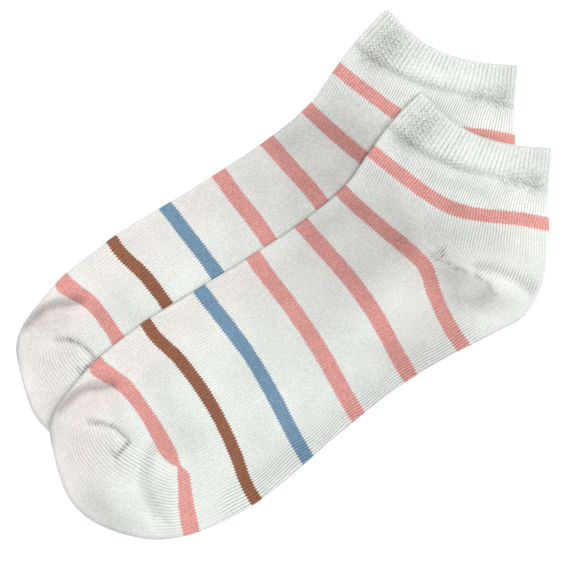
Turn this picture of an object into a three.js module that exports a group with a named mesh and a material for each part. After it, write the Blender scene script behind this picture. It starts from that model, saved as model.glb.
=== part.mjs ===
import * as THREE from 'three';

// A pair of low-cut knitted socks lying flat on their sides, one partly on the other.
// Lengths are millimetres. Each sock has its toe at low X, its leg and instep towards high Y,
// and the surface that the pair lies on is Z = 0.

const clothThickness = 1.2;      // one layer of knitted cotton
const cuffThickness = 1.6;       // one layer of the elastic rib
const restingHollow = 0.7;       // air between the two layers of a sock that lies flat
const leastHollow = 0.35;        // air left at the bottom of a crease
const foldRadius = 1.5;          // how round the tube's side folds are
const innerFoldRadius = 0.5;
const ribsOnPanel = 30;          // ribs across the cuff, from fold to fold
const ribRise = 0.45;
const cuffStep = 0.12;           // share of the cuff's height in which it reaches its thickness
const farLipReach = 0.8;         // the far layer of the cuff shows past the near one

const secondSockShift = { x: 8.6, y: 38.3 };   // from the over sock to the under sock
const layingGap = 0.6;           // air between the two socks
const fallRun = 26;              // the over sock comes down to the surface in this distance
const bridgedShare = 0.3;        // share of a trough's depth that cloth lying over it follows

const nearColumns = 24;          // mesh columns across the near panel, between its folds
const farColumns = 14;
const innerColumns = 10;
const rowsOnFoot = 2;            // mesh rows from one section to the next
const rowsOnPockets = 3;         // the same in the toe and heel pockets
const cuffRows = 4;
const foldSteps = [0, 0.12, 0.5, 1];   // shares of the fold's radius at which the mesh has points
const bowPower = 1.4;            // how far a course stays straight near its folds before it bows

// Cross-sections of one sock from toe to mouth, each along a knitted course. A section runs from
// the sole or heel side to the instep side and bows towards the leg.
const sections = [
  { at: 'toe tip',       soleX: 0.2,   soleY: 44.0, instepX: 0.2,   instepY: 51.5,  bow: 0 },
  { at: 'toe end',       soleX: 1.6,   soleY: 37.8, instepX: 1.6,   instepY: 57.2,  bow: 0 },
  { at: 'toe end',       soleX: 6.0,   soleY: 29.0, instepX: 5.8,   instepY: 69.0,  bow: 0 },
  { at: 'toe pocket',    soleX: 12.0,  soleY: 21.0, instepX: 11.7,  instepY: 80.0,  bow: 0.4 },
  { at: 'toe seam end',  soleX: 18.0,  soleY: 14.8, instepX: 18.6,  instepY: 84.7,  bow: 1.2 },
  { at: 'toe pocket',    soleX: 25.5,  soleY: 9.6,  instepX: 30.0,  instepY: 88.5,  bow: 3.5 },
  { at: 'toe stripe',    soleX: 36.0,  soleY: 5.3,  instepX: 44.6,  instepY: 92.1,  bow: 7.0 },
  { at: 'forefoot',      soleX: 51.0,  soleY: 1.9,  instepX: 58.5,  instepY: 93.1,  bow: 6.0 },
  { at: 'brown stripe',  soleX: 66.8,  soleY: 0.5,  instepX: 71.9,  instepY: 93.6,  bow: 5.2 },
  { at: 'blue stripe',   soleX: 95.8,  soleY: 2.7,  instepX: 99.6,  instepY: 92.0,  bow: 3.0 },
  { at: 'third stripe',  soleX: 124.0, soleY: 5.4,  instepX: 127.0, instepY: 90.4,  bow: 2.2 },
  { at: 'fourth stripe', soleX: 152.9, soleY: 6.2,  instepX: 152.3, instepY: 89.9,  bow: 3.6 },
  { at: 'heel stripe',   soleX: 180.0, soleY: 3.7,  instepX: 174.5, instepY: 91.6,  bow: 7.0 },
  { at: 'heel pocket',   soleX: 195.0, soleY: 1.5,  instepX: 181.0, instepY: 93.0,  bow: 5.0 },
  { at: 'heel pocket',   soleX: 209.0, soleY: 0.2,  instepX: 186.0, instepY: 94.9,  bow: 2.0 },
  { at: 'heel turn',     soleX: 222.0, soleY: 6.0,  instepX: 190.0, instepY: 96.4,  bow: -2.0 },
  { at: 'heel turn',     soleX: 232.0, soleY: 15.2, instepX: 193.0, instepY: 97.6,  bow: -5.0 },
  { at: 'leg stripe',    soleX: 240.2, soleY: 25.8, instepX: 196.4, instepY: 98.8,  bow: -7.5 },
  { at: 'cuff border',   soleX: 248.8, soleY: 38.1, instepX: 207.0, instepY: 102.4, bow: -6.0 },
  { at: 'mouth',         soleX: 261.3, soleY: 53.5, instepX: 228.3, instepY: 107.5, bow: -7.6 }
];
const sectionNamed = (name) => sections.findIndex((section) => section.at === name);
const footStart = sectionNamed('forefoot');
const heelStart = sectionNamed('fourth stripe');
const cuffBorder = sectionNamed('cuff border');
const mouth = sections.length - 1;

// Soft swellings and creases of the cloth, each along a short path. A trough has a negative rise.
const creases = [
  { of: 'fullness of the toe pocket', reach: 22, rise: 0.8, path: [[16, 44], [30, 52]] },
  { of: 'fullness of the heel pocket', reach: 20, rise: 1.2, path: [[200, 24], [222, 30]] },
  { of: 'fullness of the leg', reach: 14, rise: 0.5, path: [[213, 86], [238, 56]] },
  { of: 'fold along the toe seam', reach: 3.4, rise: -0.8, path: [[20, 83], [30, 84], [41, 81], [47, 78]] },
  { of: 'swelling below that fold', reach: 4.0, rise: 0.5, path: [[18, 76], [29, 77.5], [38, 74]] },
  { of: 'end of the toe seam', reach: 2.8, rise: -0.6, path: [[27, 70], [34, 65], [35, 56], [28, 51]] },
  { of: 'dent down the toe pocket', reach: 3.6, rise: -0.7, path: [[42, 45], [34, 39], [28, 30], [26, 17]] },
  { of: 'rounded toe', reach: 9.0, rise: 0.8, path: [[11, 46], [15, 32]] },
  { of: 'gore line of the heel', reach: 2.6, rise: -0.6, path: [[193, 42], [198, 32], [203, 23], [204, 14]] },
  { of: 'dent in the heel pocket', reach: 4.2, rise: -0.9, path: [[200, 34], [208, 26], [217, 17], [224, 10]] },
  { of: 'rounded heel behind the dent', reach: 7.5, rise: 0.9, path: [[217, 33], [227, 25]] },
  { of: 'rounded heel by the sole', reach: 5.0, rise: 0.6, path: [[204, 9], [211, 11]] },
  { of: 'nip at the sole', reach: 2.6, rise: -0.5, path: [[190, 3], [196, 13]] },
  { of: 'slack at the ankle', reach: 7.0, rise: -0.7, path: [[196, 57], [190, 72], [184, 86]] },
  { of: 'slack below the cuff', reach: 4.5, rise: -0.7, path: [[216, 73], [209, 84], [207, 93]] }
];

const clamp01 = (value) => Math.min(1, Math.max(0, value));
const smooth = (value) => value * value * (3 - 2 * value);

function distanceToPath(x, y, path) {
  let nearest = Infinity;
  for (let i = 1; i < path.length; i++) {
    const [fromX, fromY] = path[i - 1];
    const [toX, toY] = path[i];
    const alongX = toX - fromX;
    const alongY = toY - fromY;
    const along = clamp01(((x - fromX) * alongX + (y - fromY) * alongY) / (alongX ** 2 + alongY ** 2));
    nearest = Math.min(nearest, Math.hypot(x - fromX - along * alongX, y - fromY - along * alongY));
  }
  return nearest;
}

// Height that the creases add at a point of the sock, with all or a share of the troughs' depth.
function creaseRise(x, y, troughShare = 1) {
  let rise = 0;
  for (const crease of creases) {
    const share = crease.rise < 0 ? troughShare : 1;
    rise += share * crease.rise * Math.exp(-((distanceToPath(x, y, crease.path) / crease.reach) ** 2));
  }
  return rise;
}

function curveThrough(points) {
  return new THREE.CatmullRomCurve3(points.map(([x, y]) => new THREE.Vector3(x, y, 0)));
}
const soleSide = sections.map((section) => [section.soleX, section.soleY]);
const instepSide = sections.map((section) => [section.instepX, section.instepY]);
const soleEdge = curveThrough(soleSide);
const instepEdge = curveThrough(instepSide);
const bowCurve = curveThrough(sections.map((section, i) => [i, section.bow]));

// The course at a row, where row 0 is the toe tip and whole numbers are the sections above.
function courseAt(row) {
  const t = row / mouth;
  const sole = soleEdge.getPoint(t);
  const instep = instepEdge.getPoint(t);
  const bow = bowCurve.getPoint(t).y;
  const width = sole.distanceTo(instep);
  const across = instep.clone().sub(sole).divideScalar(width);
  const legward = new THREE.Vector3(across.y, -across.x, 0);
  return { row, sole, width, across, legward, bow };
}

function pointOnCourse(course, s) {
  const share = s / course.width;
  const bulge = course.bow * Math.sin(Math.PI * clamp01(share)) ** bowPower;
  return course.sole.clone().addScaledVector(course.across, s).addScaledVector(course.legward, bulge);
}

const cuffShare = (row) => smooth(clamp01((row - cuffBorder) / cuffStep));
const layerAt = (row) => clothThickness + (cuffThickness - clothThickness) * cuffShare(row);

function hollowAt(x, y, troughShare) {
  return Math.max(leastHollow, restingHollow + creaseRise(x, y, troughShare));
}

const sockOutline = [...soleSide, ...instepSide.toReversed(), soleSide[0]];

function isInside(outline, x, y) {
  let inside = false;
  for (let i = 1; i < outline.length; i++) {
    const [fromX, fromY] = outline[i - 1];
    const [toX, toY] = outline[i];
    const crosses = toY > y !== fromY > y;
    if (crosses && x < fromX + ((y - fromY) * (toX - fromX)) / (toY - fromY)) inside = !inside;
  }
  return inside;
}

// Height of what each sock lies on. Past the edge of its mate the over sock slopes down.
const heightOfSurface = () => 0;
function heightOfMate(x, y) {
  const mateX = x - secondSockShift.x;
  const mateY = y - secondSockShift.y;
  const outside = isInside(sockOutline, mateX, mateY) ? 0 : distanceToPath(mateX, mateY, sockOutline);
  const top = 2 * clothThickness + hollowAt(mateX, mateY, bridgedShare) + layingGap;
  return top * smooth(clamp01(1 - outside / fallRun));
}

// Courses that the mesh follows, closer together in the pockets and where the cuff steps up.
function courseRows() {
  const rows = [0];
  for (let section = 0; section < cuffBorder; section++) {
    const onFoot = section >= footStart && section < heelStart;
    const rowsHere = onFoot ? rowsOnFoot : rowsOnPockets;
    for (let i = 1; i <= rowsHere; i++) rows.push(section + i / rowsHere);
  }
  for (let i = 0; i <= cuffRows; i++) rows.push(cuffBorder + cuffStep + ((1 - cuffStep) * i) / cuffRows);
  return rows;
}

// Distances across a course at which the mesh has points: the round of each fold, then evenly.
function spacing(width, columns, radius) {
  const fold = foldSteps.map((share) => share * radius);
  const flat = [];
  for (let i = 1; i < columns; i++) flat.push(radius + ((width - 2 * radius) * i) / columns);
  return [...fold, ...flat, ...fold.map((s) => width - s).reverse()];
}

// How far a face has turned up from its fold, 0 at the fold and 1 on the flat of the panel.
const turnedUp = (fromFold, radius) => Math.sqrt(1 - (1 - clamp01(fromFold / radius)) ** 2);

// One ring round the tube, over the near layer from the sole side and back along the far layer.
// A face is given by its inset from the folds, its fold radius, its columns and its height.
function ringOf(course, face) {
  const width = course.width - 2 * face.inset;
  const fromToe = course.sole.x - face.inset;
  const place = (s, side) => {
    const point = pointOnCourse(course, s + face.inset);
    const up = side * turnedUp(Math.min(s, width - s, fromToe), face.radius);
    point.z = face.heightAt(point, up, s);
    const isFarLip = side < 0 && course.row === mouth;
    return isFarLip ? point.addScaledVector(course.legward, farLipReach * -up) : point;
  };
  const near = spacing(width, face.nearColumns, face.radius);
  const far = spacing(width, face.farColumns, face.radius).slice(1, -1).reverse();
  return [
    ...near.map((s) => ({ turn: s / width / 2, point: place(s, 1) })),
    ...far.map((s) => ({ turn: 1 - s / width / 2, point: place(s, -1) }))
  ];
}

function outerRing(course, heightBelow) {
  const layer = layerAt(course.row);
  const ribs = cuffShare(course.row) * ribRise;
  const heightAt = (point, up, s) => {
    const thickness = 2 * layer + hollowAt(point.x, point.y);
    const ribTurn = ribsOnPanel * clamp01((s - foldRadius) / (course.width - 2 * foldRadius));
    const rib = up > 0 ? (ribs / 2) * (1 - Math.cos(2 * Math.PI * ribTurn)) : 0;
    return heightBelow(point.x, point.y) + (thickness / 2) * (1 + up) + rib;
  };
  const columns = course.row < cuffBorder ? nearColumns : 2 * ribsOnPanel;
  return ringOf(course, { inset: 0, radius: foldRadius, nearColumns: columns, farColumns, heightAt });
}

function innerRing(course, heightBelow) {
  const layer = layerAt(course.row);
  const heightAt = (point, up) => {
    const hollow = hollowAt(point.x, point.y);
    return heightBelow(point.x, point.y) + layer + (hollow / 2) * (1 + up);
  };
  const columns = { nearColumns: innerColumns, farColumns: innerColumns };
  return ringOf(course, { inset: layer, radius: innerFoldRadius, ...columns, heightAt });
}

// A closed mesh made from rings, each of which turns once round the tube the same way.
class RingMesh {
  positions = [];
  triangles = [];

  addPoint(point) {
    this.positions.push(point.x, point.y, point.z);
    return this.positions.length / 3 - 1;
  }

  addRing(ring) {
    return ring.map(({ turn, point }) => ({ turn, index: this.addPoint(point) }));
  }

  // Joins two rings that may have different numbers of points.
  join(from, to) {
    const turnAfter = (ring, i) => (i + 1 < ring.length ? ring[i + 1].turn : 1);
    let i = 0;
    let j = 0;
    while (i < from.length || j < to.length) {
      const a = from[i % from.length].index;
      const b = to[j % to.length].index;
      const stepsFrom = j === to.length || (i < from.length && turnAfter(from, i) <= turnAfter(to, j));
      if (stepsFrom) i += 1;
      else j += 1;
      this.triangles.push(a, b, stepsFrom ? from[i % from.length].index : to[j % to.length].index);
    }
  }

  // Closes the hole in a ring with a fan round its middle.
  close(ring, points, facesToe) {
    const middle = new THREE.Vector3();
    for (const { point } of points) middle.addScaledVector(point, 1 / points.length);
    const centre = this.addPoint(middle);
    ring.forEach(({ index }, i) => {
      const next = ring[(i + 1) % ring.length].index;
      this.triangles.push(...(facesToe ? [index, next, centre] : [next, index, centre]));
    });
  }

  geometry() {
    const geometry = new THREE.BufferGeometry();
    geometry.setAttribute('position', new THREE.Float32BufferAttribute(this.positions, 3));
    geometry.setIndex(this.triangles);
    geometry.computeVertexNormals();
    return geometry;
  }
}

// A sock is one wall: its outer face from toe to mouth, round the lip, and its inner face back.
function sockGeometry(heightBelow) {
  const courses = courseRows().map(courseAt);
  const pastToe = (course) => course.sole.x > 2 * clothThickness;
  const innerCourses = courses.filter((course, i) => pastToe(course) && (courses.length - 1 - i) % 2 === 0);
  const rings = [
    ...courses.map((course) => outerRing(course, heightBelow)),
    ...innerCourses.reverse().map((course) => innerRing(course, heightBelow))
  ];

  const mesh = new RingMesh();
  const placed = rings.map((ring) => mesh.addRing(ring));
  for (let i = 1; i < placed.length; i++) mesh.join(placed[i - 1], placed[i]);
  mesh.close(placed[0], rings[0], true);
  mesh.close(placed.at(-1), rings.at(-1), false);
  return mesh.geometry();
}

function sock(name, heightBelow, colour) {
  const cotton = new THREE.MeshStandardMaterial({ color: colour, roughness: 0.92, metalness: 0 });
  const mesh = new THREE.Mesh(sockGeometry(heightBelow), cotton);
  mesh.name = name;
  return mesh;
}

const pair = new THREE.Group();
const overSock = sock('over_sock', heightOfMate, 0xe6e6e1);
const underSock = sock('under_sock', heightOfSurface, 0xe2e2dc);
underSock.position.set(secondSockShift.x, secondSockShift.y, 0);
pair.add(overSock, underSock);

// The origin is the middle of the pair's footprint on the surface.
const middle = new THREE.Box3().setFromObject(pair).getCenter(new THREE.Vector3());
pair.position.set(-middle.x, -middle.y, 0);
pair.updateMatrixWorld(true);

export default pair;
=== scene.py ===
import math

import bpy
import numpy as np
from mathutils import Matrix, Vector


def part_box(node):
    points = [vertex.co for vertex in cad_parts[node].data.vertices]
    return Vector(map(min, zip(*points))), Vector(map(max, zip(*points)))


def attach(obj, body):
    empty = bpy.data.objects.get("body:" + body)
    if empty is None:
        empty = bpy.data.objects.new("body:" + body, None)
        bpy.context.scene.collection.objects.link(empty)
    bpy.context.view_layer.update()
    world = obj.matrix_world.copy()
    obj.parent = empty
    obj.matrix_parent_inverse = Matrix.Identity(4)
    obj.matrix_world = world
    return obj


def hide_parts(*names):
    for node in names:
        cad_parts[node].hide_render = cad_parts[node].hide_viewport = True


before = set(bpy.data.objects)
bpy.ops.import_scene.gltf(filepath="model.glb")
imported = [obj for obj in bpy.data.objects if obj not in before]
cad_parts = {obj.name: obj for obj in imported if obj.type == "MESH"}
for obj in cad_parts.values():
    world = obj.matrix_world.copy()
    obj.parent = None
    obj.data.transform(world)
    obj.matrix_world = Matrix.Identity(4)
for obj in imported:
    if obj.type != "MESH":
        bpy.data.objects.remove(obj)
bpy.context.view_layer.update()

mm = 0.001
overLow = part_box("over_sock")[0]
print("stage 1: frame loaded")


# Camera, floor and light. The socks lie flat and are seen from straight above,
# with the foot running up to the right at 35 degrees.
view = {
    "turn": math.radians(-35),      # roll of the picture against the foot
    "aim": (-3.6, -3.3),            # middle of the picture
    "width": 252,                   # what the picture takes in, side to side
    "lens": 400,                    # a long lens, for nearly no perspective
    "sensor": 36,
    "farthest": 10,                 # metres
}


def addCamera():
    distance = view["width"] * mm * view["lens"] / view["sensor"]
    place = (view["aim"][0] * mm, view["aim"][1] * mm, distance)
    bpy.ops.object.camera_add(location=place, rotation=(0, 0, view["turn"]))
    camera = bpy.context.object
    camera.name = "photoCamera"
    camera.data.lens = view["lens"]
    camera.data.sensor_width = view["sensor"]
    camera.data.clip_end = view["farthest"]
    bpy.context.scene.camera = camera


lamps = {   # soft lamps far off, each with the direction it shines from
    "softKey": {"around": -2, "height": 45, "softness": 40, "strength": 2.0},
    "softTop": {"around": 150, "height": 75, "softness": 80, "strength": 1.2},
}
studio = {
    "worldStrength": 0.42,
    "floorSize": 3,         # metres
    "paper": (0.9, 0.9, 0.9, 1),
    "paperRoughness": 0.9,
    "paperGlow": 0.45,
}


def addLamps():
    for name, lamp in lamps.items():
        bpy.ops.object.light_add(type="SUN", location=(0, 0, 1))
        light = bpy.context.object
        light.name = name
        light.data.energy = lamp["strength"]
        light.data.angle = math.radians(lamp["softness"])
        tilt = math.radians(90 - lamp["height"])
        around = math.radians(lamp["around"] + 90)
        light.rotation_euler = (tilt, 0, around)
    world = bpy.data.worlds.new("studio")
    world.use_nodes = True
    background = world.node_tree.nodes["Background"]
    background.inputs["Color"].default_value = (1, 1, 1, 1)
    background.inputs["Strength"].default_value = studio["worldStrength"]
    bpy.context.scene.world = world
    bpy.context.scene.view_settings.view_transform = "Standard"


def addFloor():
    bpy.ops.mesh.primitive_plane_add(size=studio["floorSize"], location=(0, 0, 0))
    floor = bpy.context.object
    floor.name = "floor"
    paper = bpy.data.materials.new("palePaper")
    paper.use_nodes = True
    shader = paper.node_tree.nodes["Principled BSDF"]
    shader.inputs["Base Color"].default_value = studio["paper"]
    shader.inputs["Roughness"].default_value = studio["paperRoughness"]
    shader.inputs["Specular IOR Level"].default_value = 0.0
    shader.inputs["Emission Color"].default_value = (1, 1, 1, 1)
    shader.inputs["Emission Strength"].default_value = studio["paperGlow"]
    floor.data.materials.append(paper)


addCamera()
addLamps()
addFloor()
print("stage 2: camera, floor and light")


# One sock in millimetres, toe at low x and leg towards high y, lying on z = 0. It is a flattened
# tube: a near and a far layer that meet in the folds along its outline.
cloth = {
    "layer": 1.2,           # one layer of the knit
    "cuffLayer": 1.6,
    "hollow": 0.7,          # air between the layers
    "leastHollow": 0.35,
    "foldRadius": 1.5,
    "lipRound": 0.45,
    "lipTurns": (45, 90, 135, 180),     # degrees, the rings round the lip of the mouth
    "farLipReach": 0.6,     # the far layer of the cuff shows past the near one
    "layingGap": 0.6,       # air between the two socks
    "fallRun": 26,          # past its mate's edge the over sock comes down in this distance
    "bridgedShare": 0.3,    # of a trough's depth, what cloth lying over it follows
    "mateShift": (8.6, 38.3),
}
knit = {
    "courseSteps": 12,      # a course goes from one of its points to the next in this many steps
    "outlineSteps": 8,
    "columns": 144,         # mesh columns across a layer
    "toeColumns": 46,       # of these, the ones that turn round the toe pocket
    "stitchColumns": 72,    # stitch columns across a layer
    "rowStep": 1.5,         # the mesh rows are no further apart than this
    "closeColumns": 90,     # in this per cent of the columns
    "leastRows": 2,         # from one course in the table to the next
    "coursePitch": 0.95,
    "cuffRibs": 36,         # two stitch columns to a rib
    "ribRise": 0.38,
    "cuffStep": 1.5,        # length in which the cuff reaches its thickness
    "innerColumns": 24,
    "innerRowStep": 5,      # an inner ring for this many rows of the foot
    "innerMargin": 3,       # rows of the foot without one at either end
    "innerToeStep": 4,      # the same for the toe pocket
    "innerToeMargin": 6,
    "innerReach": 5,        # the inner face keeps below the troughs this far round it
}

outline = [   # from the mouth down the back and the sole, round the toe and up the instep
    (260.7, 52.7), (248.8, 38.1), (240.2, 25.8), (232.0, 15.2), (222.0, 6.0), (209.0, 0.2),
    (195.0, 1.5), (180.0, 3.7), (152.9, 6.2), (124.0, 5.4), (95.8, 2.7), (66.8, 0.5), (51.0, 1.9),
    (36.0, 5.3), (25.5, 9.6), (18.0, 14.8), (12.0, 21.0), (6.0, 29.0), (1.6, 37.8), (0.2, 44.0),
    (0.2, 51.5), (1.6, 57.2), (5.8, 69.0), (11.7, 80.0), (18.6, 84.7), (30.0, 88.5), (44.6, 92.1),
    (58.5, 93.1), (71.9, 93.6), (99.6, 92.0), (127.0, 90.4), (152.3, 89.9), (174.5, 91.6),
    (181.0, 93.0), (186.0, 94.9), (190.0, 96.4), (193.0, 97.6), (196.4, 98.8), (207.0, 102.4),
    (218.0, 105.0), (227.4, 106.6),
]

# The toe pocket turns the sole's stitch columns round the side of the toe. Its courses run from
# the outline in to the gore, the first beside the toe stripe and the last along the toe seam.
toeCourses = [
    [(27.5, 8.7), (32.8, 17.5), (37.8, 26.0), (42.4, 31.4), (45.4, 33.6)],
    [(18.0, 14.8), (30.0, 28.5), (37.5, 35.0), (43.4, 38.1)],
    [(9.0, 24.9), (22.0, 36.5), (32.5, 41.5), (41.3, 42.5)],
    [(2.7, 35.4), (15.5, 43.5), (28.0, 47.6), (38.9, 46.9)],
    [(0.2, 46.5), (13.5, 49.5), (26.0, 51.6), (37.1, 51.4)],
    [(0.35, 53.5), (13.0, 53.6), (27.0, 53.2), (35.9, 55.0)],
    [(4.0, 64.0), (15.0, 61.8), (26.0, 60.0), (35.2, 59.2)],
    [(18.6, 84.7), (22.6, 77.8), (27.3, 72.8), (31.2, 68.4), (34.3, 63.5)],
]
toeCrowding = [1, 1, 1, 1, 1, 1, 1.15, 1.5]     # of the columns, at the start of each toe course
toeSteps = [8, 8, 8, 8, 6, 7, 7]                # mesh rows from one toe course to the next
notch = 5                                       # the course at which the columns bend sharply

white = (0.722, 0.749, 0.714)
warmWhite = (0.760, 0.705, 0.675)
rose = (0.745, 0.342, 0.308)
brown = (0.300, 0.122, 0.070)
blueGrey = (0.180, 0.305, 0.430)

# Courses from the toe to the mouth, each from the sole or heel fold to the instep fold. A stripe
# has a width about its line, or else reaches to the next line. At a pinch the toe pocket's
# columns end, at a bend all columns turn sharply, and crowding draws them together at the back.
footCourses = [
    {"of": "toe stripe", "tint": rose, "pinch": 4, "points": [
        (31.5, 6.6), (36.5, 17.4), (41.5, 25.1), (45.2, 30.8), (47.0, 33.2), (45.2, 36.6), (44.2, 40.5),
        (45.0, 49.0), (46.2, 63.0), (45.0, 75.0), (41.0, 84.0), (39.6, 88.5), (40.4, 91.2)]},
    {"of": "toe stripe's end", "pinch": 4, "points": [
        (38.6, 4.6), (42.9, 14.6), (46.9, 22.8), (49.5, 28.6), (48.3, 33.0), (50.3, 38.0), (51.0, 41.5),
        (51.8, 49.0), (52.2, 63.0), (51.6, 76.0), (49.3, 84.0), (47.8, 88.5), (47.4, 92.3)]},
    {"of": "brown stripe", "tint": brown, "width": 5.5, "points": [
        (66.5, 0.4), (67.0, 8.0), (71.1, 24.0), (74.0, 40.0), (75.1, 60.0), (74.5, 72.0),
        (71.7, 87.0), (71.8, 93.6)]},
    {"of": "blue stripe", "tint": blueGrey, "width": 6.2, "points": [
        (95.4, 2.7), (95.8, 9.0), (98.7, 32.0), (100.8, 56.0), (100.2, 74.0), (99.4, 92.0)]},
    {"of": "middle stripe", "tint": rose, "width": 7.1, "points": [
        (124.0, 5.5), (124.9, 16.0), (127.2, 40.0), (127.8, 60.0), (126.9, 80.0), (126.9, 90.4)]},
    {"of": "arch stripe", "tint": rose, "width": 7.0, "points": [
        (152.6, 6.2), (153.4, 16.0), (155.9, 40.0), (155.8, 56.0), (153.2, 80.0), (152.2, 89.9)]},
    {"of": "heel stripe", "tint": rose, "width": 6.4, "points": [
        (179.3, 3.8), (179.6, 16.0), (182.0, 30.0), (185.6, 43.5), (184.0, 53.0), (181.0, 64.0),
        (177.2, 79.0), (174.6, 91.5)]},
    {"of": "heel gore", "bends": True, "points": [
        (208.0, 0.3), (205.5, 12.0), (203.0, 23.0), (199.0, 34.0), (192.8, 44.0), (190.0, 55.0),
        (187.0, 72.0), (183.2, 93.4)]},
    {"of": "heel pocket", "points": [
        (219.6, 4.2), (214.0, 16.0), (207.5, 30.0), (200.5, 42.5), (195.5, 54.0), (191.0, 72.0),
        (187.0, 95.1)]},
    {"of": "heel turn", "points": [
        (229.6, 12.9), (222.0, 25.0), (213.0, 36.5), (205.0, 47.0), (199.0, 58.5), (194.0, 75.0),
        (190.0, 96.3)]},
    {"of": "leg stripe", "tint": rose, "width": 5.9, "points": [
        (240.8, 26.8), (231.8, 36.0), (222.2, 44.2), (213.9, 52.0), (208.3, 60.0), (204.5, 68.5),
        (201.2, 78.5), (198.0, 88.5), (195.2, 98.3)]},
    {"of": "cuff border", "crowding": 1.06, "points": [
        (248.8, 38.1), (243.0, 46.5), (231.0, 59.5), (222.5, 69.0), (214.5, 82.0), (207.0, 102.4)]},
    {"of": "mouth", "crowding": 1.06, "points": [
        (260.7, 52.7), (255.2, 56.9), (250.0, 61.2), (245.3, 65.7), (240.9, 70.6), (237.0, 75.8),
        (233.8, 81.4), (231.3, 87.5), (229.5, 93.8), (228.4, 100.4), (227.4, 106.6)]},
]

toeFold = [(19, 83.2), (24, 84.4), (30, 84.8), (35, 83.5), (40, 80.6), (45, 78.5)]

creases = [   # each along a path; a trough has a negative rise
    {"of": "fullness of the toe pocket", "reach": 22, "rise": 0.8, "path": [(16, 44), (30, 52)]},
    {"of": "fullness of the heel pocket", "reach": 20, "rise": 1.2, "path": [(200, 24), (222, 30)]},
    {"of": "fullness of the leg", "reach": 14, "rise": 0.5, "path": [(213, 86), (238, 56)]},
    {"of": "fold along the toe seam", "reach": 1.8, "rise": -2.4, "path": toeFold},
    {"of": "swelling above that fold", "reach": 4.5, "rise": 1.4,
     "path": [(26, 87.5), (38, 87), (46, 84)]},
    {"of": "swelling below that fold", "reach": 4.5, "rise": 0.9,
     "path": [(18, 77), (29, 78.5), (38, 75)]},
    {"of": "end of the toe seam", "reach": 2.0, "rise": -0.7,
     "path": [(26, 71.5), (33.4, 65), (35, 56), (28, 52)]},
    {"of": "dent down the toe pocket", "reach": 2.6, "rise": -1.5,
     "path": [(41, 46), (35, 41.5), (30.5, 37), (28, 30), (26.5, 20), (26, 16)]},
    {"of": "swelling beside that dent", "reach": 5.0, "rise": 0.7, "path": [(37, 33), (33, 20)]},
    {"of": "rounded toe", "reach": 9.0, "rise": 0.8, "path": [(11, 46), (15, 32)]},
    {"of": "hollow left of the heel gore", "reach": 5.5, "rise": -1.3,
     "path": [(194, 34), (197, 24), (199, 13)]},
    {"of": "dent in the heel pocket", "reach": 2.2, "rise": -1.15,
     "path": [(203, 29.5), (209, 23.5), (213.5, 16), (216, 8)]},
    {"of": "rounded heel behind the dent", "reach": 7.5, "rise": 0.9, "path": [(217, 33), (227, 25)]},
    {"of": "rounded heel by the sole", "reach": 3.5, "rise": 0.65, "path": [(204.5, 19), (210, 9)]},
    {"of": "nip at the sole", "reach": 2.6, "rise": -0.5, "path": [(190, 3), (196, 13)]},
    {"of": "slack at the ankle", "reach": 7.0, "rise": -0.7,
     "path": [(196, 57), (190, 72), (184, 86)]},
    {"of": "slack below the cuff", "reach": 2.6, "rise": -0.9,
     "path": [(233, 57), (222, 69), (214, 81), (209, 92), (206, 100)]},
    {"of": "slack below the cuff at the back", "reach": 3.0, "rise": -0.8,
     "path": [(244, 43), (238, 50)]},
]

looseStitches = [   # where the stitch columns stand apart, with painted shade in the gaps between them, or with a negative share lie smooth
    # toe
    {"path": [(16, 64), (28, 58), (30, 50)], "reach": 9, "share": 0.3},
    {"path": [(30, 48), (42, 38)], "reach": 6, "share": 0.2},
    {"path": [(36, 30), (31, 16)], "reach": 6, "share": 0.35},
    {"path": [(41.5, 45.5), (34, 40)], "reach": 2.5, "share": 0.5},
    {"path": [(20, 36), (13, 22)], "reach": 9, "share": -0.35},
    {"path": [(2, 66), (0, 46), (8, 28)], "reach": 7, "share": -0.45},
    {"path": [(41, 55), (41, 78)], "reach": 4, "share": 0.12},
    # foot
    {"path": [(58, 8), (58, 60)], "reach": 6, "share": 0.12},
    {"path": [(60, 4), (180, 6)], "reach": 8.5, "share": 0.85},
    {"path": [(85, 24), (88, 70)], "reach": 10, "share": 0.1},
    {"path": [(113, 30), (142, 60)], "reach": 12, "share": 0.08},
    {"path": [(168, 40), (170, 80)], "reach": 12, "share": -0.12},
    {"path": [(60, 90), (120, 88)], "reach": 5, "share": 0.15},
    # heel
    {"path": [(193, 34), (197, 22), (199, 12)], "reach": 5.0, "share": -1.0},
    {"path": [(204, 9), (212, 9)], "reach": 4.5, "share": -0.5},
    {"path": [(206, 28.5), (212, 23), (216.5, 15.5), (218.5, 9)], "reach": 3.0, "share": 0.8},
    {"path": [(194, 46), (205, 50), (226, 26)], "reach": 9, "share": 0.15},
    {"path": [(200, 38), (212, 40), (222, 34)], "reach": 6, "share": 0.25},
    # leg and cuff
    {"path": [(206, 60), (232, 30)], "reach": 10, "share": 0.25},
    {"path": [(211, 70), (216, 62), (226, 54), (240, 40)], "reach": 7, "share": 0.75},
    {"path": [(192, 92), (206, 76)], "reach": 8, "share": 0.5},
    {"path": [(222, 98), (255, 52)], "reach": 14, "share": 0.5},
]
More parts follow.
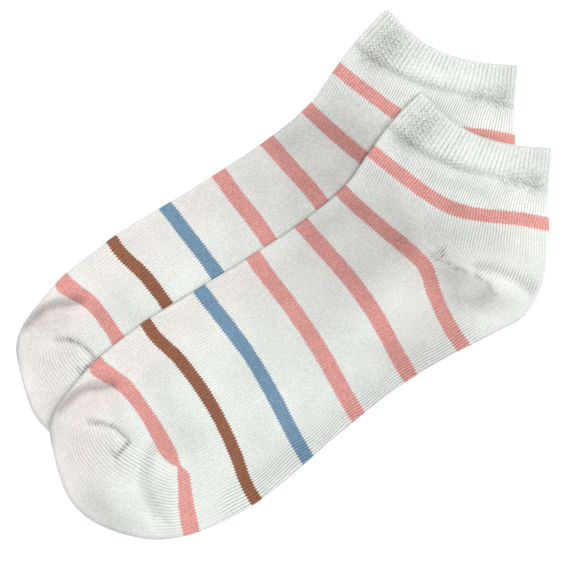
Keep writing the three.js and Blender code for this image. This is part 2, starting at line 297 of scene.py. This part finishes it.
partedStitches = [   # where the cloth is pulled and gaps open between the stitch columns, with painted shade in them
    # end of the toe seam
    {"path": [(26.8, 71.2), (31.0, 67.8), (34.0, 64.4)], "reach": 1.2, "share": 1.3},
    {"path": [(34.0, 64.4), (35.4, 60.0), (35.9, 56.0)], "reach": 0.9, "share": 0.8},
    {"path": [(36.0, 54.3), (31.0, 53.2), (27.6, 52.2)], "reach": 1.0, "share": 1.2},
    {"path": [(27.6, 55.2), (27.2, 50.6)], "reach": 1.1, "share": 0.8},
    # heel gore
    {"path": [(191.2, 45.2), (196.8, 44.6)], "reach": 1.2, "share": 1.5},
    {"path": [(192.0, 42.8), (196.0, 41.8)], "reach": 1.1, "share": 1.7},
    {"path": [(193.4, 41.0), (197.1, 33.5), (202.6, 25.4), (204.0, 20.6), (203.8, 15.5)],
     "reach": 1.1, "share": 1.0},
    # below the cuff
    {"path": [(207.0, 101.0), (214.5, 82.0), (222.5, 69.0), (231.0, 59.5), (246.0, 42.0)],
     "reach": 0.9, "share": 0.15},
]
paintedShadeAndLight = [   # painted shade and painted light: darker along creases, folds and broad zones in shade, lighter where light falls
    # toe
    {"path": toeFold, "reach": 1.7, "share": -0.36},
    {"path": [(26, 85.6), (36, 85.0), (43, 81.5)], "reach": 2.5, "share": -0.06},
    {"path": [(26, 79.5), (34, 78)], "reach": 5, "share": -0.12},
    {"path": [(27.5, 70.8), (31.4, 67.4), (34.2, 63.8), (35.6, 58.5), (36.0, 55.0)],
     "reach": 0.9, "share": -0.15},
    {"path": [(36.0, 54.6), (31.0, 53.4), (28.0, 52.6)], "reach": 0.9, "share": -0.12},
    {"path": [(18, 50), (28, 62)], "reach": 10, "share": -0.07},
    {"path": [(4, 40), (2, 56)], "reach": 8, "share": -0.04},
    {"path": [(9, 42), (14, 26)], "reach": 8, "share": -0.15},
    {"path": [(4, 34), (14, 20), (24, 12)], "reach": 8, "share": -0.08},
    {"path": [(40, 45), (33, 40), (29, 33), (27, 22)], "reach": 2.0, "share": -0.10},
    {"path": [(42, 40), (36, 34)], "reach": 3, "share": 0.05},
    {"path": [(26, 30), (34, 22)], "reach": 5, "share": -0.05},
    {"path": [(36, 12), (44, 26)], "reach": 5, "share": 0.05},
    {"path": [(48, 40), (49, 70)], "reach": 3.5, "share": -0.08},
    # foot
    {"path": [(58, 40), (62, 70)], "reach": 8, "share": -0.11},
    {"path": [(75, 40), (75, 70)], "reach": 5, "share": -0.08},
    {"path": [(60, 84), (116, 82)], "reach": 9, "share": -0.04},
    {"path": [(80, 10), (104, 12)], "reach": 12, "share": -0.07},
    {"path": [(106, 50), (116, 76)], "reach": 14, "share": -0.06},
    {"path": [(127.6, 40), (127.6, 60)], "reach": 5, "share": 0.07},
    {"path": [(130, 48), (144, 56)], "reach": 8, "share": -0.03},
    {"path": [(139, 52), (150, 60), (182, 58)], "reach": 24, "share": -0.17},
    {"path": [(158, 60), (176, 62)], "reach": 12, "share": -0.09},
    {"path": [(162, 56), (176, 54)], "reach": 9, "share": -0.06},
    {"path": [(140, 82), (184, 84)], "reach": 14, "share": -0.13},
    {"path": [(162, 84), (176, 82)], "reach": 9, "share": -0.09},
    {"path": [(160, 82), (172, 78)], "reach": 10, "share": -0.04},
    {"path": [(136, 14), (172, 16)], "reach": 14, "share": -0.13},
    {"path": [(160, 14), (172, 16)], "reach": 9, "share": -0.05},
    # ankle
    {"path": [(176, 86), (184, 52)], "reach": 3.5, "share": -0.05},
    {"path": [(184, 62), (192, 72)], "reach": 12, "share": -0.07},
    {"path": [(188, 72), (190, 58)], "reach": 6, "share": -0.05},
    # heel
    {"path": [(188, 24), (193, 18)], "reach": 5, "share": -0.12},
    {"path": [(190, 36), (192, 23), (197, 16)], "reach": 6.0, "share": -0.26},
    {"path": [(194, 33), (199, 26), (201, 19)], "reach": 3.5, "share": -0.13},
    {"path": [(205, 8), (216, 10)], "reach": 7, "share": -0.12},
    {"path": [(218, 20), (226, 28)], "reach": 8, "share": 0.05},
    {"path": [(222, 37), (228, 33)], "reach": 6, "share": -0.10},
    {"path": [(203, 52), (228, 28)], "reach": 11, "share": -0.07},
    {"path": [(200, 52), (206, 46)], "reach": 8, "share": -0.08},
    {"path": [(232, 33), (241, 42)], "reach": 9, "share": 0.16},
    # leg and cuff
    {"path": [(209, 60), (234, 34)], "reach": 3, "share": -0.10},
    {"path": [(198, 92), (206, 66), (226, 40)], "reach": 5, "share": 0.11},
    {"path": [(208, 95), (213, 83), (219, 75), (227, 63.6)], "reach": 3.2, "share": -0.12},
    {"path": [(204, 84), (210, 74)], "reach": 4, "share": -0.07},
    {"path": [(218, 64), (226, 54)], "reach": 4, "share": -0.04},
    {"path": [(242, 42), (246, 48)], "reach": 4, "share": -0.10},
    {"path": [(212, 80), (236, 52)], "reach": 15, "share": 0.08},
    {"path": [(212, 92), (220, 94)], "reach": 8, "share": -0.17},
    {"path": [(218, 98), (222, 88)], "reach": 8, "share": -0.05},
    {"path": [(246, 44), (254, 52)], "reach": 6, "share": -0.09},
]
warmCloth = [   # where the white is warmer than elsewhere
    {"path": [(8, 58), (28, 76)], "reach": 13, "share": 0.85},
    {"path": [(22, 87), (42, 78)], "reach": 8, "share": 1.3},
    {"path": [(170, 60), (194, 30)], "reach": 14, "share": 0.5},
    {"path": [(58, 84), (124, 84)], "reach": 12, "share": 0.7},
    {"path": [(140, 74), (186, 66)], "reach": 20, "share": 0.4},
    {"path": [(160, 18), (176, 18)], "reach": 12, "share": 0.35},
    {"path": [(204, 20), (226, 34)], "reach": 10, "share": 0.4},
]
tuckStitches = [   # where the cuff's ribs break up into cells
    {"path": [(213, 92), (222, 94)], "reach": 9, "share": 1.0},
    {"path": [(214, 84), (226, 66)], "reach": 3, "share": 0.5},
    {"path": [(239, 52), (247, 46)], "reach": 5.5, "share": 1.2},
]


tiny = 1e-6     # least length to divide by


def smoothPath(points, steps, bends=()):
    # points along a smooth curve through the given ones, steps[i] of them after the i-th; the
    # curve turns sharply at the ones listed as bends
    points = np.asarray(points, float)
    spans = np.maximum(np.linalg.norm(np.diff(points, axis=0), axis=-1), tiny)[..., None]
    slopes = np.diff(points, axis=0) / spans
    leaving, arriving = slopes.copy(), slopes.copy()
    for i in range(1, len(points) - 1):
        if i not in bends:
            weighted = slopes[i - 1] * spans[i] + slopes[i] * spans[i - 1]
            leaving[i] = arriving[i - 1] = weighted / (spans[i - 1] + spans[i])
    rows = [points[0]]
    for i, count in enumerate(steps):
        for f in np.arange(1, count + 1) / count:
            ahead = f * f * (3 - 2 * f)
            pull = leaving[i] * (f * (1 - f) ** 2) - arriving[i] * (f * f * (1 - f))
            rows.append(points[i] * (1 - ahead) + points[i + 1] * ahead + spans[i] * pull)
    return np.array(rows)


def spread(path, count, inset=0, crowding=1):
    # count + 1 points along a path, from an inset at either end, maybe crowded at its start
    length = np.concatenate([[0], np.cumsum(np.linalg.norm(np.diff(path, axis=0), axis=1))])
    at = inset + (length[-1] - 2 * inset) * np.linspace(0, 1, count + 1) ** crowding
    return np.stack([np.interp(at, length, path[:, 0]), np.interp(at, length, path[:, 1])], axis=1)


def coursePath(points, bends=()):
    return smoothPath(points, [knit["courseSteps"]] * (len(points) - 1), bends)


def courseColumns(course):
    columns, toeColumns = knit["columns"], knit["toeColumns"]
    pinch = course.get("pinch")
    path = coursePath(course["points"], [pinch])
    if pinch is None:
        return spread(path, columns, crowding=course.get("crowding", 1))
    at = knit["courseSteps"] * pinch
    below, above = spread(path[: at + 1], toeColumns), spread(path[at:], columns - toeColumns)
    return np.concatenate([below, above[1:]])


def legwardOf(course):
    # at each of its points the direction across the course, towards the mouth
    along = np.gradient(course, axis=0)
    along /= np.linalg.norm(along, axis=1)[:, None]
    return np.stack([along[:, 1], -along[:, 0]], axis=1)


def nearestOnPath(points, path):
    # for each point the nearest place on a path, and how far off it is
    path = np.asarray(path, float)
    best = np.full(len(points), np.inf)
    place = np.array(points, float)
    for start, end in zip(path[:-1], path[1:]):
        run = end - start
        share = np.clip((points - start) @ run / max(run @ run, tiny), 0, 1)
        nearest = start + share[:, None] * run
        distance = np.linalg.norm(points - nearest, axis=1)
        closer = distance < best
        best[closer] = distance[closer]
        place[closer] = nearest[closer]
    return place, best


def snapped(grid, columns):
    # the given columns of a grid, put onto the outline
    for column in columns:
        grid[:, column] = nearestOnPath(grid[:, column], outlinePath)[0]
    return grid


def toeGrid():
    courses = []
    for points, crowding in zip(toeCourses, toeCrowding):
        courses.append(spread(coursePath(points), knit["toeColumns"], crowding=crowding))
    return snapped(smoothPath(courses, toeSteps, bends=[notch]), [0])


def footGrid(toe):
    # its first row goes up the pocket's first course, along the gore and back along the seam;
    # with it come the mesh rows of each stripe and the row of the cuff's border
    first = np.concatenate([toe[0], toe[1:, -1], toe[-1, -2::-1]])
    courses, bends, stripes = [first], [], []
    for course in footCourses:
        columns = courseColumns(course)
        if "tint" in course:
            stripes.append((len(courses), course["tint"]))
        if "bends" in course:
            bends.append(len(courses))
        if "width" in course:
            half = course["width"] / 2 * legwardOf(columns)
            courses += [columns - half, columns + half]
        else:
            courses.append(columns)
    gaps = np.linalg.norm(np.diff(courses, axis=0), axis=2)
    gaps = np.percentile(gaps, knit["closeColumns"], axis=1)
    steps = [max(knit["leastRows"], round(gap / knit["rowStep"])) for gap in gaps]
    rowOf = np.concatenate([[0], np.cumsum(steps)])
    stripes = [(rowOf[i], rowOf[i + 1], tint) for i, tint in stripes]
    return snapped(smoothPath(courses, steps, bends), [0, -1]), stripes, rowOf[-2]


outlinePath = smoothPath(outline, [knit["outlineSteps"]] * (len(outline) - 1))
toe = toeGrid()
foot, stripes, borderRow = footGrid(toe)
print("stage 3: knit laid out,", toe.shape[:2], foot.shape[:2])


def ease(value):
    value = np.clip(value, 0, 1)
    return value * value * (3 - 2 * value)


def creaseRise(points, troughShare=1):
    rise = np.zeros(len(points))
    for crease in creases:
        share = troughShare if crease["rise"] < 0 else 1
        distance = nearestOnPath(points, crease["path"])[1]
        rise += share * crease["rise"] * np.exp(-((distance / crease["reach"]) ** 2))
    return rise


def hollowAt(points, troughShare=1):
    return np.maximum(cloth["leastHollow"], cloth["hollow"] + creaseRise(points, troughShare))


def leastHollowAround(points):
    reach = knit["innerReach"]
    places = [(0, 0), (reach, 0), (-reach, 0), (0, reach), (0, -reach)]
    return np.min([hollowAt(points + place) for place in places], axis=0)


def isInside(points, path):
    x, y = points[:, 0], points[:, 1]
    inside = np.zeros(len(points), bool)
    for (fromX, fromY), (toX, toY) in zip(path[:-1], path[1:]):
        if fromY != toY:
            left = x < fromX + (y - fromY) * (toX - fromX) / (toY - fromY)
            inside ^= ((toY > y) != (fromY > y)) & left
    return inside


def heightOfSurface(points):
    return np.zeros(len(points))


def heightOfMate(points):
    # what the over sock lies on: its mate, and past the mate's edge a slope down to the surface
    mate = points - np.array(cloth["mateShift"])
    closed = outline + outline[:1]
    outside = np.where(isInside(mate, closed), 0, nearestOnPath(mate, closed)[1])
    top = 2 * cloth["layer"] + hollowAt(mate, cloth["bridgedShare"]) + cloth["layingGap"]
    return top * ease(1 - outside / cloth["fallRun"])


def spotShares(points, spots):
    # what each spot gives to each point, fading away from the spot's path
    shares = [np.zeros(len(points))]
    for spot in spots:
        distance = nearestOnPath(points, spot["path"])[1]
        shares.append(spot["share"] * np.exp(-((distance / spot["reach"]) ** 2)))
    return shares


def columnLength(grid):
    # length along each column up to each row
    steps = np.linalg.norm(np.diff(grid, axis=0), axis=2)
    return np.concatenate([np.zeros((1, grid.shape[1])), np.cumsum(steps, axis=0)])


noStripe = -3       # the depth of what lies this far outside all stripes, or further


def stripeFields(length):
    # how far inside a stripe each point lies along its column, and the nearest stripe's colour
    inside = np.full(length.shape, 3.0 * noStripe)
    tint = np.ones(length.shape + (3,)) * rose
    for start, end, colour in stripes:
        depth = np.minimum(length - length[start], length[end] - length)
        tint[depth > inside] = colour
        inside = np.maximum(inside, depth)
    return np.maximum(inside, noStripe), tint


def quads(grid, turned=False):
    # the grid's values at the four corners of each of its faces
    corners = [grid[:-1, :-1], grid[1:, :-1], grid[1:, 1:], grid[:-1, 1:]]
    if turned:
        corners = [corners[i] for i in (0, 3, 2, 1)]
    stacked = np.stack(corners, axis=2)
    return stacked.reshape((-1, 4) + grid.shape[2:])


# A stitch has its column, its course, its depth in a stripe, that stripe's colour and its share
# of a rib.
plainStitch = np.array([0, 0, noStripe, *rose, 0])
stitchParts = [2, 3, 6]     # where the depth, the colour and the share start


def plainStitches(*shape):
    return np.ones((*shape, len(plainStitch))) * plainStitch


def numberPoints():
    # the numbers of the toe pocket's points and of the foot's, whose first row is the pocket's edge
    rows, columns = foot.shape[:2]
    toeIndex = np.arange(toe.shape[0] * toe.shape[1]).reshape(toe.shape[:2])
    footIndex = toeIndex.size + np.arange((rows - 1) * columns).reshape(rows - 1, columns)
    firstRow = np.concatenate([toeIndex[0], toeIndex[1:, -1], toeIndex[-1, -2::-1]])
    return toeIndex, np.vstack([firstRow, footIndex])


def stitchesOf(length, cuffShare):
    rows, columns = foot.shape[:2]
    inside, tint = stripeFields(length)
    column = np.linspace(0, knit["stitchColumns"], columns)
    footColumns = np.broadcast_to(column, (rows, columns))
    footStitches = np.dstack([footColumns, length / knit["coursePitch"], inside, tint, cuffShare])
    toeStitches = plainStitches(*toe.shape[:2])
    toeStitches[..., 0] = column[: toe.shape[1]]
    toeStitches[..., 1] = -columnLength(toe) / knit["coursePitch"]
    return toeStitches, footStitches


class SockMesh:
    # one closed wall: the outer face, the lip round the mouth and a coarser inner face

    def __init__(self, heightBelow):
        self.heightBelow = heightBelow
        self.places, self.faces, self.stitches = [], [], []
        self.count = 0

    def addPoints(self, points, heights):
        self.places.append(np.column_stack([points, heights]))
        self.count += len(points)
        return np.arange(self.count - len(points), self.count)

    def addFaces(self, corners, stitches):
        self.faces += corners.tolist()
        self.stitches.append(stitches.reshape(-1, len(plainStitch)))

    def addOuterFace(self):
        points = np.concatenate([toe.reshape(-1, 2), foot[1:].reshape(-1, 2)])
        toeIndex, footIndex = numberPoints()
        length = columnLength(foot)
        cuffShare = ease((length - length[borderRow]) / knit["cuffStep"])
        ribTurn = np.linspace(0, 2 * np.pi * knit["cuffRibs"], foot.shape[1])
        rib = cuffShare * knit["ribRise"] / 2 * (1 - np.cos(ribTurn))
        layer = cloth["layer"] + cuffShare * (cloth["cuffLayer"] - cloth["layer"])
        rib = np.concatenate([np.zeros(toeIndex.size), rib[1:].ravel()])
        layer = np.concatenate([np.full(toeIndex.size, cloth["layer"]), layer[1:].ravel()])

        # both layers round off into the fold that they share
        fromEdge = nearestOnPath(points, outlinePath)[1]
        onEdge = np.zeros(len(points), bool)
        onEdge[toeIndex[:, 0]] = onEdge[footIndex[1:, 0]] = onEdge[footIndex[1:, -1]] = True
        fromEdge[onEdge] = 0
        up = np.sqrt(1 - (1 - np.clip(fromEdge / cloth["foldRadius"], 0, 1)) ** 2)
        below = self.heightBelow(points)
        thickness = 2 * layer + hollowAt(points)
        near = self.addPoints(points, below + thickness / 2 * (1 + up) + rib)
        mouth = footIndex[-1]
        farPoints = points.copy()
        farPoints[mouth] += legwardOf(foot[-1]) * (cloth["farLipReach"] * up[mouth])[:, None]
        farHeights = below + thickness / 2 * (1 - up)
        far = near.copy()
        far[~onEdge] = self.addPoints(farPoints[~onEdge], farHeights[~onEdge])

        toeStitches, footStitches = stitchesOf(length, cuffShare)
        for side, isFar in ((near, False), (far, True)):
            self.addFaces(quads(side[toeIndex], not isFar), quads(toeStitches, not isFar))
            self.addFaces(quads(side[footIndex], isFar), quads(footStitches, isFar))
        self.mouth = np.concatenate([near[mouth], far[mouth[-2:0:-1]]])
        self.mouthUp = np.concatenate([up[mouth], -up[mouth[-2:0:-1]]])
        self.mouthCourse = footStitches[-1, :, 1].mean()

    def addLip(self):
        # the wall's thickness turns from level at the folds to upright on the layers
        columns = foot.shape[1]
        order = np.concatenate([np.arange(columns), np.arange(columns - 2, 0, -1)])
        legward = legwardOf(foot[-1])[order]
        inward = np.stack([-legward[:, 1], legward[:, 0]], axis=1)
        inward *= np.where(order < columns / 2, 1, -1)[:, None]
        level = 1 - np.abs(self.mouthUp)
        across = np.column_stack([inward * level[:, None], -self.mouthUp]) * cloth["cuffLayer"]
        out = np.column_stack([legward, np.zeros(len(order))]) * cloth["lipRound"]
        middle = np.concatenate(self.places)[self.mouth] + across / 2
        stitchColumn = np.append(order, 0) / (columns - 1) * knit["stitchColumns"]
        self.rim = self.mouth
        for turn in cloth["lipTurns"]:
            angle = math.radians(turn)
            place = middle - across / 2 * math.cos(angle) + out * math.sin(angle)
            nextRing = self.addPoints(place[:, :2], place[:, 2])
            self.joinRings(self.rim, nextRing, stitchColumn, self.mouthCourse)
            self.rim = nextRing

    def joinRings(self, ring, nextRing, stitchColumn, course):
        closed = np.array([np.append(ring, ring[0]), np.append(nextRing, nextRing[0])])
        stitches = plainStitches(*closed.shape)
        stitches[..., 0] = stitchColumn
        stitches[..., 1] = course
        self.addFaces(quads(closed), quads(stitches))

    def addInnerFace(self):
        # plain sections of the tube from the mouth to the toe
        margin = knit["innerMargin"]
        sections = list(foot[-margin:margin:-knit["innerRowStep"]])
        for row in range(0, len(toe) // 2 - knit["innerToeMargin"], knit["innerToeStep"]):
            sections.append(np.array([toe[row, 0], toe[-1 - row, 0]]))
        ring = None
        for section in sections:
            line = spread(section, knit["innerColumns"], cloth["cuffLayer"])
            floorHeight = self.heightBelow(line) + cloth["layer"]
            hollow = leastHollowAround(line)
            top = floorHeight + hollow
            top[[0, -1]] -= hollow[[0, -1]] / 2
            near = self.addPoints(line, top)
            far = self.addPoints(line[-2:0:-1], floorHeight[-2:0:-1])
            nextRing = np.concatenate([near, far])
            if ring is None:
                self.stitchRim(nextRing)
            else:
                self.joinRings(ring, nextRing, 0, 0)
            ring = nextRing
        middle = np.concatenate(self.places)[ring].mean(axis=0)
        centre = self.addPoints(middle[None, :2], middle[2:])[0]
        fan = np.array([[a, centre, b] for a, b in zip(ring, np.roll(ring, -1))])
        self.addFaces(fan, plainStitches(fan.size))

    def stitchRim(self, ring):
        # the fine ring at the rim goes over to the coarse rings inside
        ratio = len(self.rim) // len(ring)
        rim = np.append(self.rim, self.rim[0])
        triangles = []
        for c, (here, ahead) in enumerate(zip(ring, np.roll(ring, -1))):
            middle = ratio * c + ratio // 2
            triangles.append([rim[middle], here, ahead])
            for i in range(ratio * c, ratio * (c + 1)):
                triangles.append([rim[i], here if i < middle else ahead, rim[i + 1]])
        triangles = np.array(triangles)
        self.addFaces(triangles, plainStitches(triangles.size))

    def build(self, name, shift):
        self.addOuterFace()
        self.addLip()
        self.addInnerFace()
        places = np.concatenate(self.places)
        mesh = bpy.data.meshes.new(name)
        mesh.from_pydata(((places + [*shift, 0]) * mm).tolist(), [], self.faces)
        mesh.shade_smooth()
        stitches = np.concatenate(self.stitches)
        stitchPlace, inside, tint, ribbed = np.split(stitches, stitchParts, axis=1)
        tint = np.column_stack([tint, np.ones(len(tint))])
        points = places[:, :2]
        loose = loops["baseLoose"] + sum(spotShares(points, looseStitches))
        fields = [
            ("insideStripe", "FLOAT", "CORNER", "value", inside),
            ("stripeTint", "FLOAT_COLOR", "CORNER", "color", tint),
            ("ribbed", "FLOAT", "CORNER", "value", ribbed),
            ("loose", "FLOAT", "POINT", "value", np.maximum(0, loose)),
            ("parted", "FLOAT", "POINT", "value", np.max(spotShares(points, partedStitches), axis=0)),
            ("tuck", "FLOAT", "POINT", "value", np.max(spotShares(points, tuckStitches), axis=0)),
            ("paintedShading", "FLOAT", "POINT", "value", sum(spotShares(points, paintedShadeAndLight))),
            ("warmth", "FLOAT", "POINT", "value", np.max(spotShares(points, warmCloth), axis=0)),
        ]
        mesh.uv_layers.new(name="knit").data.foreach_set("uv", stitchPlace.ravel())
        for label, kind, domain, part, values in fields:
            mesh.attributes.new(label, kind, domain).data.foreach_set(part, values.ravel())
        sock = bpy.data.objects.new(name, mesh)
        bpy.context.collection.objects.link(sock)
        return sock


# Cotton knit. Its pattern is read from the stitches: the UV map holds the stitch column and the
# course, and the stripes come from the depth inside a stripe. Rises are in millimetres.
yarn = {
    "roughness": 0.9,
    "gloss": 0.15,
    "sheen": 0.1,
    "mottle": 0.17,         # unevenness of the white within a stitch
    "cloud": 0.09,          # and over many stitches
    "fuzzRise": 0.07,
    "mostShade": 0.75,      # no stitch is darker than this
}
loops = {   # stitch columns and the gaps between them
    "baseLoose": 0.35,
    "leastSlack": 0.05,
    "waleRise": 0.22,       # how far a stitch column stands out of the cloth
    "stitchRise": 0.12,
    "leastStitch": 0.2,     # of that rise, where the cloth is loose
    "gapFrom": 0.22,        # where a gap starts, from the middle of a column
    "gapShade": 0.25,       # painted shade in the gaps of loose cloth
    "partedShade": 0.42,    # and painted shade where the columns are parted
    "columnWander": 0.8,    # how unevenly the columns run
    "courseBeat": 0.3,      # how much a gap swells and shrinks within a course
    "dashBase": 0.5,        # where parted, how dark the columns between the gaps are
    "dashNoise": (0.38, 0.62),      # the span of the noise that counts
    "dashShares": (0.35, 1.5),      # what it makes of the dashes in parted stitches
}
ribs = {
    "gapFrom": 0.30,        # where the furrow between two ribs starts, from the middle of a rib
    "gapRise": 0.20,
    # painted shade in the furrows between the ribs
    "gapShade": 0.11,
    "gapNoise": (0.35, 0.65),       # the span of the noise that counts
    "gapShares": (0.65, 1.3),       # what it makes of the furrows
    "tightness": 0.65,      # how much less loose the stitches of a rib are
    "tuck": 0.28,           # how far all ribs are broken up into cells
    "tuckSoftens": 0.6,     # how much of the furrow that takes away
    "tuckRise": 0.40,
    # painted shade in the pits between the cells, painted light on their tops
    "tuckShade": 0.22,
    "cell": 2,              # stitches in a cell, each way
    "cellShare": 0.6,
    "cellFray": 3.0,
}
stripe = {
    "toothDepth": 0.72,     # its edges are toothed, a tooth for each stitch column
    "edgeBlur": 0.30,
    "edgeFray": 0.6,
    "edgeWander": 0.7,
    "loose": 0.5,           # how far its stitch columns stand apart at the least
    "loopShade": 0.16,      # painted shade between the loops
    "mottle": 0.6,
}
grain = {   # how fine each unevenness is
    "cloud": 70,
    "edgeWander": 90,
    "columnWander": 130,
    "ribGap": 160,
    "edgeFray": 320,
    "dashes": 450,
    "cells": 700,
    "mottle": 900,
    "stripeMottle": 1100,
    "fuzz": 1500,
}


def addNode(tree, kind, inputs=(), **settings):
    node = tree.nodes.new(kind)
    for name, value in settings.items():
        setattr(node, name, value)
    for name, value in dict(inputs).items():
        if isinstance(value, bpy.types.NodeSocket):
            tree.links.new(value, node.inputs[name])
        else:
            node.inputs[name].default_value = value
    return node


def knitCotton(name):
    material = bpy.data.materials.new(name)
    material.use_nodes = True
    tree = material.node_tree
    shader = tree.nodes["Principled BSDF"]

    def calc(operation, *values):
        return addNode(tree, "ShaderNodeMath", enumerate(values), operation=operation).outputs[0]

    def attribute(label, output="Fac"):
        return addNode(tree, "ShaderNodeAttribute", attribute_name=label).outputs[output]

    def ranged(value, low, high, toLow=0.0, toHigh=1.0):
        inputs = {"Value": value, "From Min": low, "From Max": high, "To Min": toLow, "To Max": toHigh}
        return addNode(tree, "ShaderNodeMapRange", inputs, interpolation_type="SMOOTHSTEP").outputs[0]

    def noise(scale, detail=2.0):
        inputs = {"Vector": place, "Scale": scale, "Detail": detail}
        return addNode(tree, "ShaderNodeTexNoise", inputs).outputs["Fac"]

    def mixed(share, first, second):
        mix = addNode(tree, "ShaderNodeMix", data_type="RGBA")
        sockets = mix.inputs[0], mix.inputs[6], mix.inputs[7]
        for socket, value in zip(sockets, (share, first, second)):
            if isinstance(value, bpy.types.NodeSocket):
                tree.links.new(value, socket)
            else:
                socket.default_value = value
        return mix.outputs[2]

    def total(first, *others):
        for other in others:
            first = calc("ADD", first, other)
        return first

    def product(first, *others):
        for other in others:
            first = calc("MULTIPLY", first, other)
        return first

    def wave(value):
        return calc("SINE", product(value, 2 * math.pi))

    def unevenness(scale, amount, detail=2.0):
        # half of the amount up or down
        return product(calc("SUBTRACT", noise(scale, detail), 0.5), amount)

    def fromMiddle(value):
        # 0 in the middle of a column or rib, 0.5 on its sides
        return calc("ABSOLUTE", calc("SUBTRACT", calc("FRACT", value), 0.5))

    place = addNode(tree, "ShaderNodeTexCoord").outputs["Object"]
    stitchMap = addNode(tree, "ShaderNodeUVMap", uv_map="knit").outputs[0]
    stitch = addNode(tree, "ShaderNodeSeparateXYZ", {0: stitchMap})
    column, course = stitch.outputs[0], stitch.outputs[1]
    ribbed = attribute("ribbed")
    beat = product(wave(course), loops["courseBeat"])

    # the furrows between the ribs
    tuck = calc("MAXIMUM", attribute("tuck"), product(ribbed, ribs["tuck"]))
    ribColumn = product(column, knit["cuffRibs"] / knit["stitchColumns"])
    ribGap = product(
        ranged(fromMiddle(ribColumn), ribs["gapFrom"], 0.5),
        ribbed,
        calc("SUBTRACT", 1.0, product(tuck, ribs["tuckSoftens"])),
        ranged(noise(grain["ribGap"]), *ribs["gapNoise"], *ribs["gapShares"]),
        total(beat, 1.0),
    )

    # the stitch columns, the gaps between them and the stripes' toothed edges: across a column a
    # tooth goes from -1 to 1 and back
    column = total(column, unevenness(grain["columnWander"], loops["columnWander"]))
    aside = fromMiddle(column)
    gap = ranged(aside, loops["gapFrom"], 0.5)
    chevron = wave(calc("SUBTRACT", course, aside))
    tooth = product(calc("SUBTRACT", product(aside, 4.0), 1.0), stripe["toothDepth"] / 2)
    edge = total(
        attribute("insideStripe"),
        tooth,
        unevenness(grain["edgeFray"], stripe["edgeFray"]),
        unevenness(grain["edgeWander"], stripe["edgeWander"]),
    )
    isStripe = ranged(edge, -stripe["edgeBlur"], stripe["edgeBlur"])
    loose = product(attribute("loose"), calc("SUBTRACT", 1.0, product(ribbed, ribs["tightness"])))
    loose = calc("MAXIMUM", loose, product(isStripe, stripe["loose"]))
    slack = ranged(loose, 0.0, 1.0, loops["leastSlack"], 1.0)

    # how far each stands out of the cloth
    upright = calc("MAXIMUM", loops["leastStitch"], calc("SUBTRACT", 1.0, loose))
    stitches = product(chevron, calc("SUBTRACT", 1.0, gap), slack, upright)
    cells = product(wave(product(course, 1 / ribs["cell"])), wave(product(column, 1 / ribs["cell"])))
    cells = total(product(cells, ribs["cellShare"]), unevenness(grain["cells"], ribs["cellFray"]))
    cells = product(cells, tuck)
    height = total(
        product(gap, slack, -loops["waleRise"] * mm),
        product(stitches, loops["stitchRise"] * mm),
        product(cells, ribs["tuckRise"] * mm),
        product(ribGap, -ribs["gapRise"] * mm),
        unevenness(grain["fuzz"], yarn["fuzzRise"] * mm),
    )
    bump = addNode(tree, "ShaderNodeBump", {"Height": height, "Strength": 1.0, "Distance": 1.0})

    # how dark it is, from painted shade in the gaps, furrows, pits and between loops and from the
    # stripes' random mottle, and the colour
    dashes = product(
        total(gap, loops["dashBase"]),
        total(beat, 1 - loops["courseBeat"]),
        ranged(noise(grain["dashes"]), *loops["dashNoise"], *loops["dashShares"]),
    )
    dark = total(
        product(gap, loose, loops["gapShade"]),
        product(dashes, attribute("parted"), loops["partedShade"]),
        product(ribGap, ribs["gapShade"]),
        product(cells, -ribs["tuckShade"]),
        product(isStripe, calc("SUBTRACT", 0.5, product(chevron, 0.5)), stripe["loopShade"]),
        product(isStripe, unevenness(grain["stripeMottle"], stripe["mottle"])),
    )
    # painted shade and painted light from the spots, with random mottle and clouds
    light = total(
        1.0,
        attribute("paintedShading"),
        unevenness(grain["mottle"], yarn["mottle"] * 2),
        unevenness(grain["cloud"], yarn["cloud"] * 2, 1.0),
    )
    shade = product(calc("SUBTRACT", 1.0, calc("MINIMUM", dark, yarn["mostShade"])), light)
    undyed = mixed(attribute("warmth"), (*white, 1), (*warmWhite, 1))
    colour = mixed(isStripe, undyed, attribute("stripeTint", "Color"))
    shaded = addNode(tree, "ShaderNodeVectorMath", {0: colour}, operation="SCALE")
    tree.links.new(shade, shaded.inputs["Scale"])

    tree.links.new(shaded.outputs[0], shader.inputs["Base Color"])
    tree.links.new(bump.outputs[0], shader.inputs["Normal"])
    shader.inputs["Roughness"].default_value = yarn["roughness"]
    shader.inputs["Specular IOR Level"].default_value = yarn["gloss"]
    shader.inputs["Sheen Weight"].default_value = yarn["sheen"]
    return material


# Both socks are the same sock, laid over one another as in the photograph.
atOrigin = np.array(overLow[:2]) / mm - outlinePath.min(axis=0)
pieces = [
    {"name": "overSock", "node": "over_sock", "slot": "over_sock_cotton",
     "below": heightOfMate, "shift": atOrigin, "restsOn": ["underSock", "floor"]},
    {"name": "underSock", "node": "under_sock", "slot": "under_sock_cotton",
     "below": heightOfSurface, "shift": atOrigin + cloth["mateShift"], "restsOn": ["floor"]},
]


def addSocks():
    for piece in pieces:
        sock = SockMesh(piece["below"]).build(piece["name"], piece["shift"])
        sock.data.materials.append(knitCotton(piece["name"] + "Cotton"))
        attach(sock, "root")
        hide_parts(piece["node"])
        print("stage 4:", piece["name"], len(sock.data.polygons), "faces")


addSocks()
